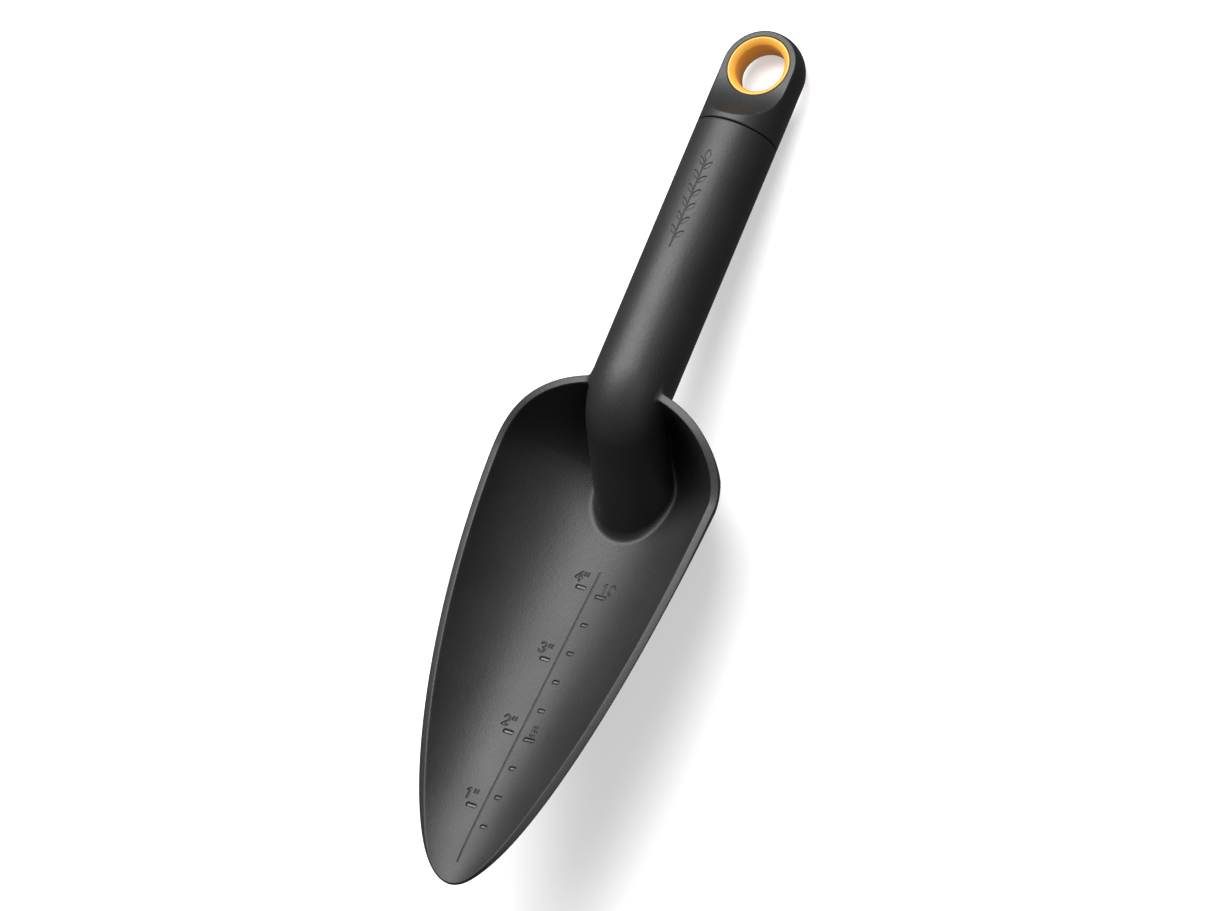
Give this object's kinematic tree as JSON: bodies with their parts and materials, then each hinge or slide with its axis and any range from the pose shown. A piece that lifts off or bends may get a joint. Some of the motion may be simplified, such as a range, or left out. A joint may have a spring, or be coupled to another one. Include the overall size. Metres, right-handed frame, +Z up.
{
  "type": "hand trowel",
  "caption": "Moulded hand trowel: deep pointed scoop with a depth scale, a bent neck running into a hollow round grip, and an end cap with a lined hanging hole.",
  "frame": {"origin": "centre of the bounding box at the height of the ground the trowel lies on", "axes": "+X from the tip of the scoop towards the end cap, +Y across the scoop, +Z up out of its hollow side"},
  "size_m": [0.2716, 0.0758, 0.0482],
  "materials": {
    "charcoal_plastic": "fine moulded grain",
    "cap_plastic": "fine moulded grain",
    "amber_plastic": "smooth satin"
  },
  "bodies": {
    "root": {"scoop_and_grip": "charcoal_plastic", "end_cap": "cap_plastic", "hang_ring": "amber_plastic"}
  },
  "joints": []
}
